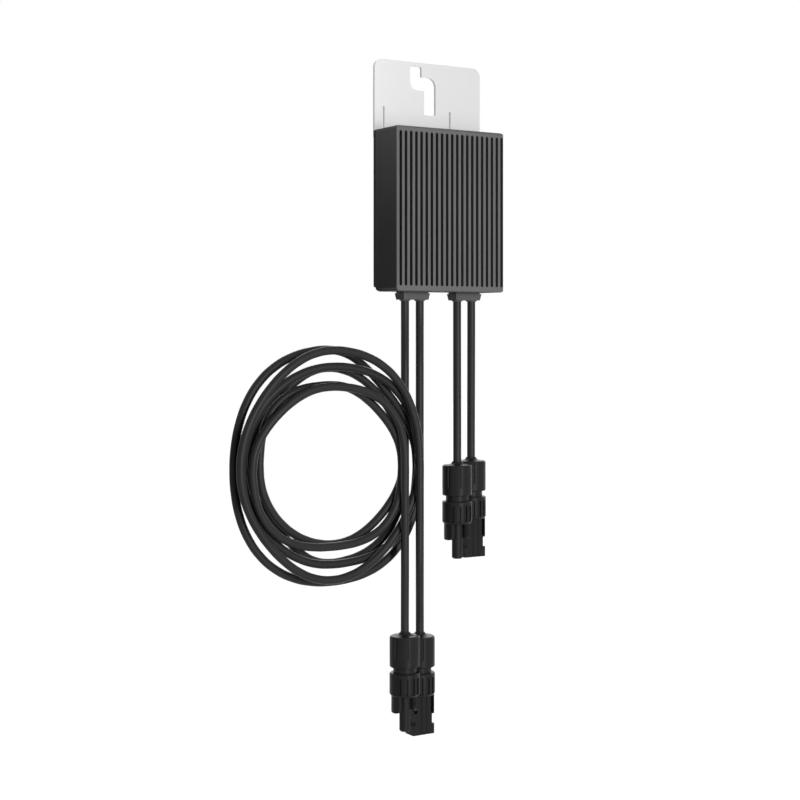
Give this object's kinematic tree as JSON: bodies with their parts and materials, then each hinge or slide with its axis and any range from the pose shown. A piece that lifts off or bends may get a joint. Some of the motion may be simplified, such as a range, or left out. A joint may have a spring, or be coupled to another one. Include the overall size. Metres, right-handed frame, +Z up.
{
  "type": "power optimizer",
  "caption": "Solar power optimizer: black finned box on a slotted aluminium mounting plate, with short input leads and long coiled output leads ending in plug-in connectors.",
  "frame": {"origin": "on the rear face of the mounting plate, on the housing's vertical centre line, level with the housing's top edge", "axes": "+X to the right seen from the front, +Y to the rear out of the plate's back, +Z up"},
  "size_m": [0.2045, 0.0327, 0.4579],
  "materials": {
    "black_casting": "fine satin black powder coat on a casting",
    "cover_black": "matt black coated cover",
    "bare_aluminium": "mill-finish sheet, finely brushed",
    "screw_steel": "plain zinc-plated",
    "outlet_plastic": "moulded black",
    "seal_rubber": "matt rubber",
    "board_green": "solder mask",
    "ferrite": "sintered grey",
    "winding_copper": "enamelled wire",
    "component_black": "moulded epoxy",
    "film_yellow": "moulded case",
    "pad_grey": "soft thermal pad",
    "lead_black": "smooth extruded jacket, satin",
    "connector_black": "moulded black, satin",
    "clamp_white": "moulded natural",
    "contact_metal": "tinned copper"
  },
  "bodies": {
    "root": {"finned_housing": "black_casting", "back_cover": "cover_black", "cover_gasket": "seal_rubber", "cover_screws": "screw_steel", "mounting_plate": "bare_aluminium", "plate_screws": "screw_steel", "output_gland": "outlet_plastic", "input_gland": "outlet_plastic", "circuit_board": "board_green", "board_screws": "screw_steel", "inductor_cores": "ferrite", "inductor_windings": "winding_copper", "input_capacitors": "component_black", "output_capacitors": "film_yellow", "switching_transistors": "component_black", "thermal_pad": "pad_grey", "control_chips": "component_black", "output_lead_tails": "lead_black", "input_lead_tails": "lead_black", "terminal_lugs": "contact_metal", "terminal_screws": "screw_steel", "terminal_nuts": "screw_steel", "output_nose_nut": "connector_black", "output_nose_clamp": "clamp_white", "output_nose_seal": "seal_rubber", "output_nose_body": "connector_black", "output_nose_contact": "contact_metal", "output_latch_nut": "connector_black", "output_latch_clamp": "clamp_white", "output_latch_seal": "seal_rubber", "output_latch_body": "connector_black", "output_latch_contact": "contact_metal", "input_nose_nut": "connector_black", "input_nose_clamp": "clamp_white", "input_nose_seal": "seal_rubber", "input_nose_body": "connector_black", "input_nose_contact": "contact_metal", "input_latch_nut": "connector_black", "input_latch_clamp": "clamp_white", "input_latch_seal": "seal_rubber", "input_latch_body": "connector_black", "input_latch_contact": "contact_metal", "input_cable_left": "lead_black", "input_cable_right": "lead_black", "output_upper_lead_left": "lead_black", "output_upper_lead_right": "lead_black", "output_lower_lead_left": "lead_black", "output_lower_lead_right": "lead_black", "output_coil": "lead_black"}
  },
  "joints": []
}
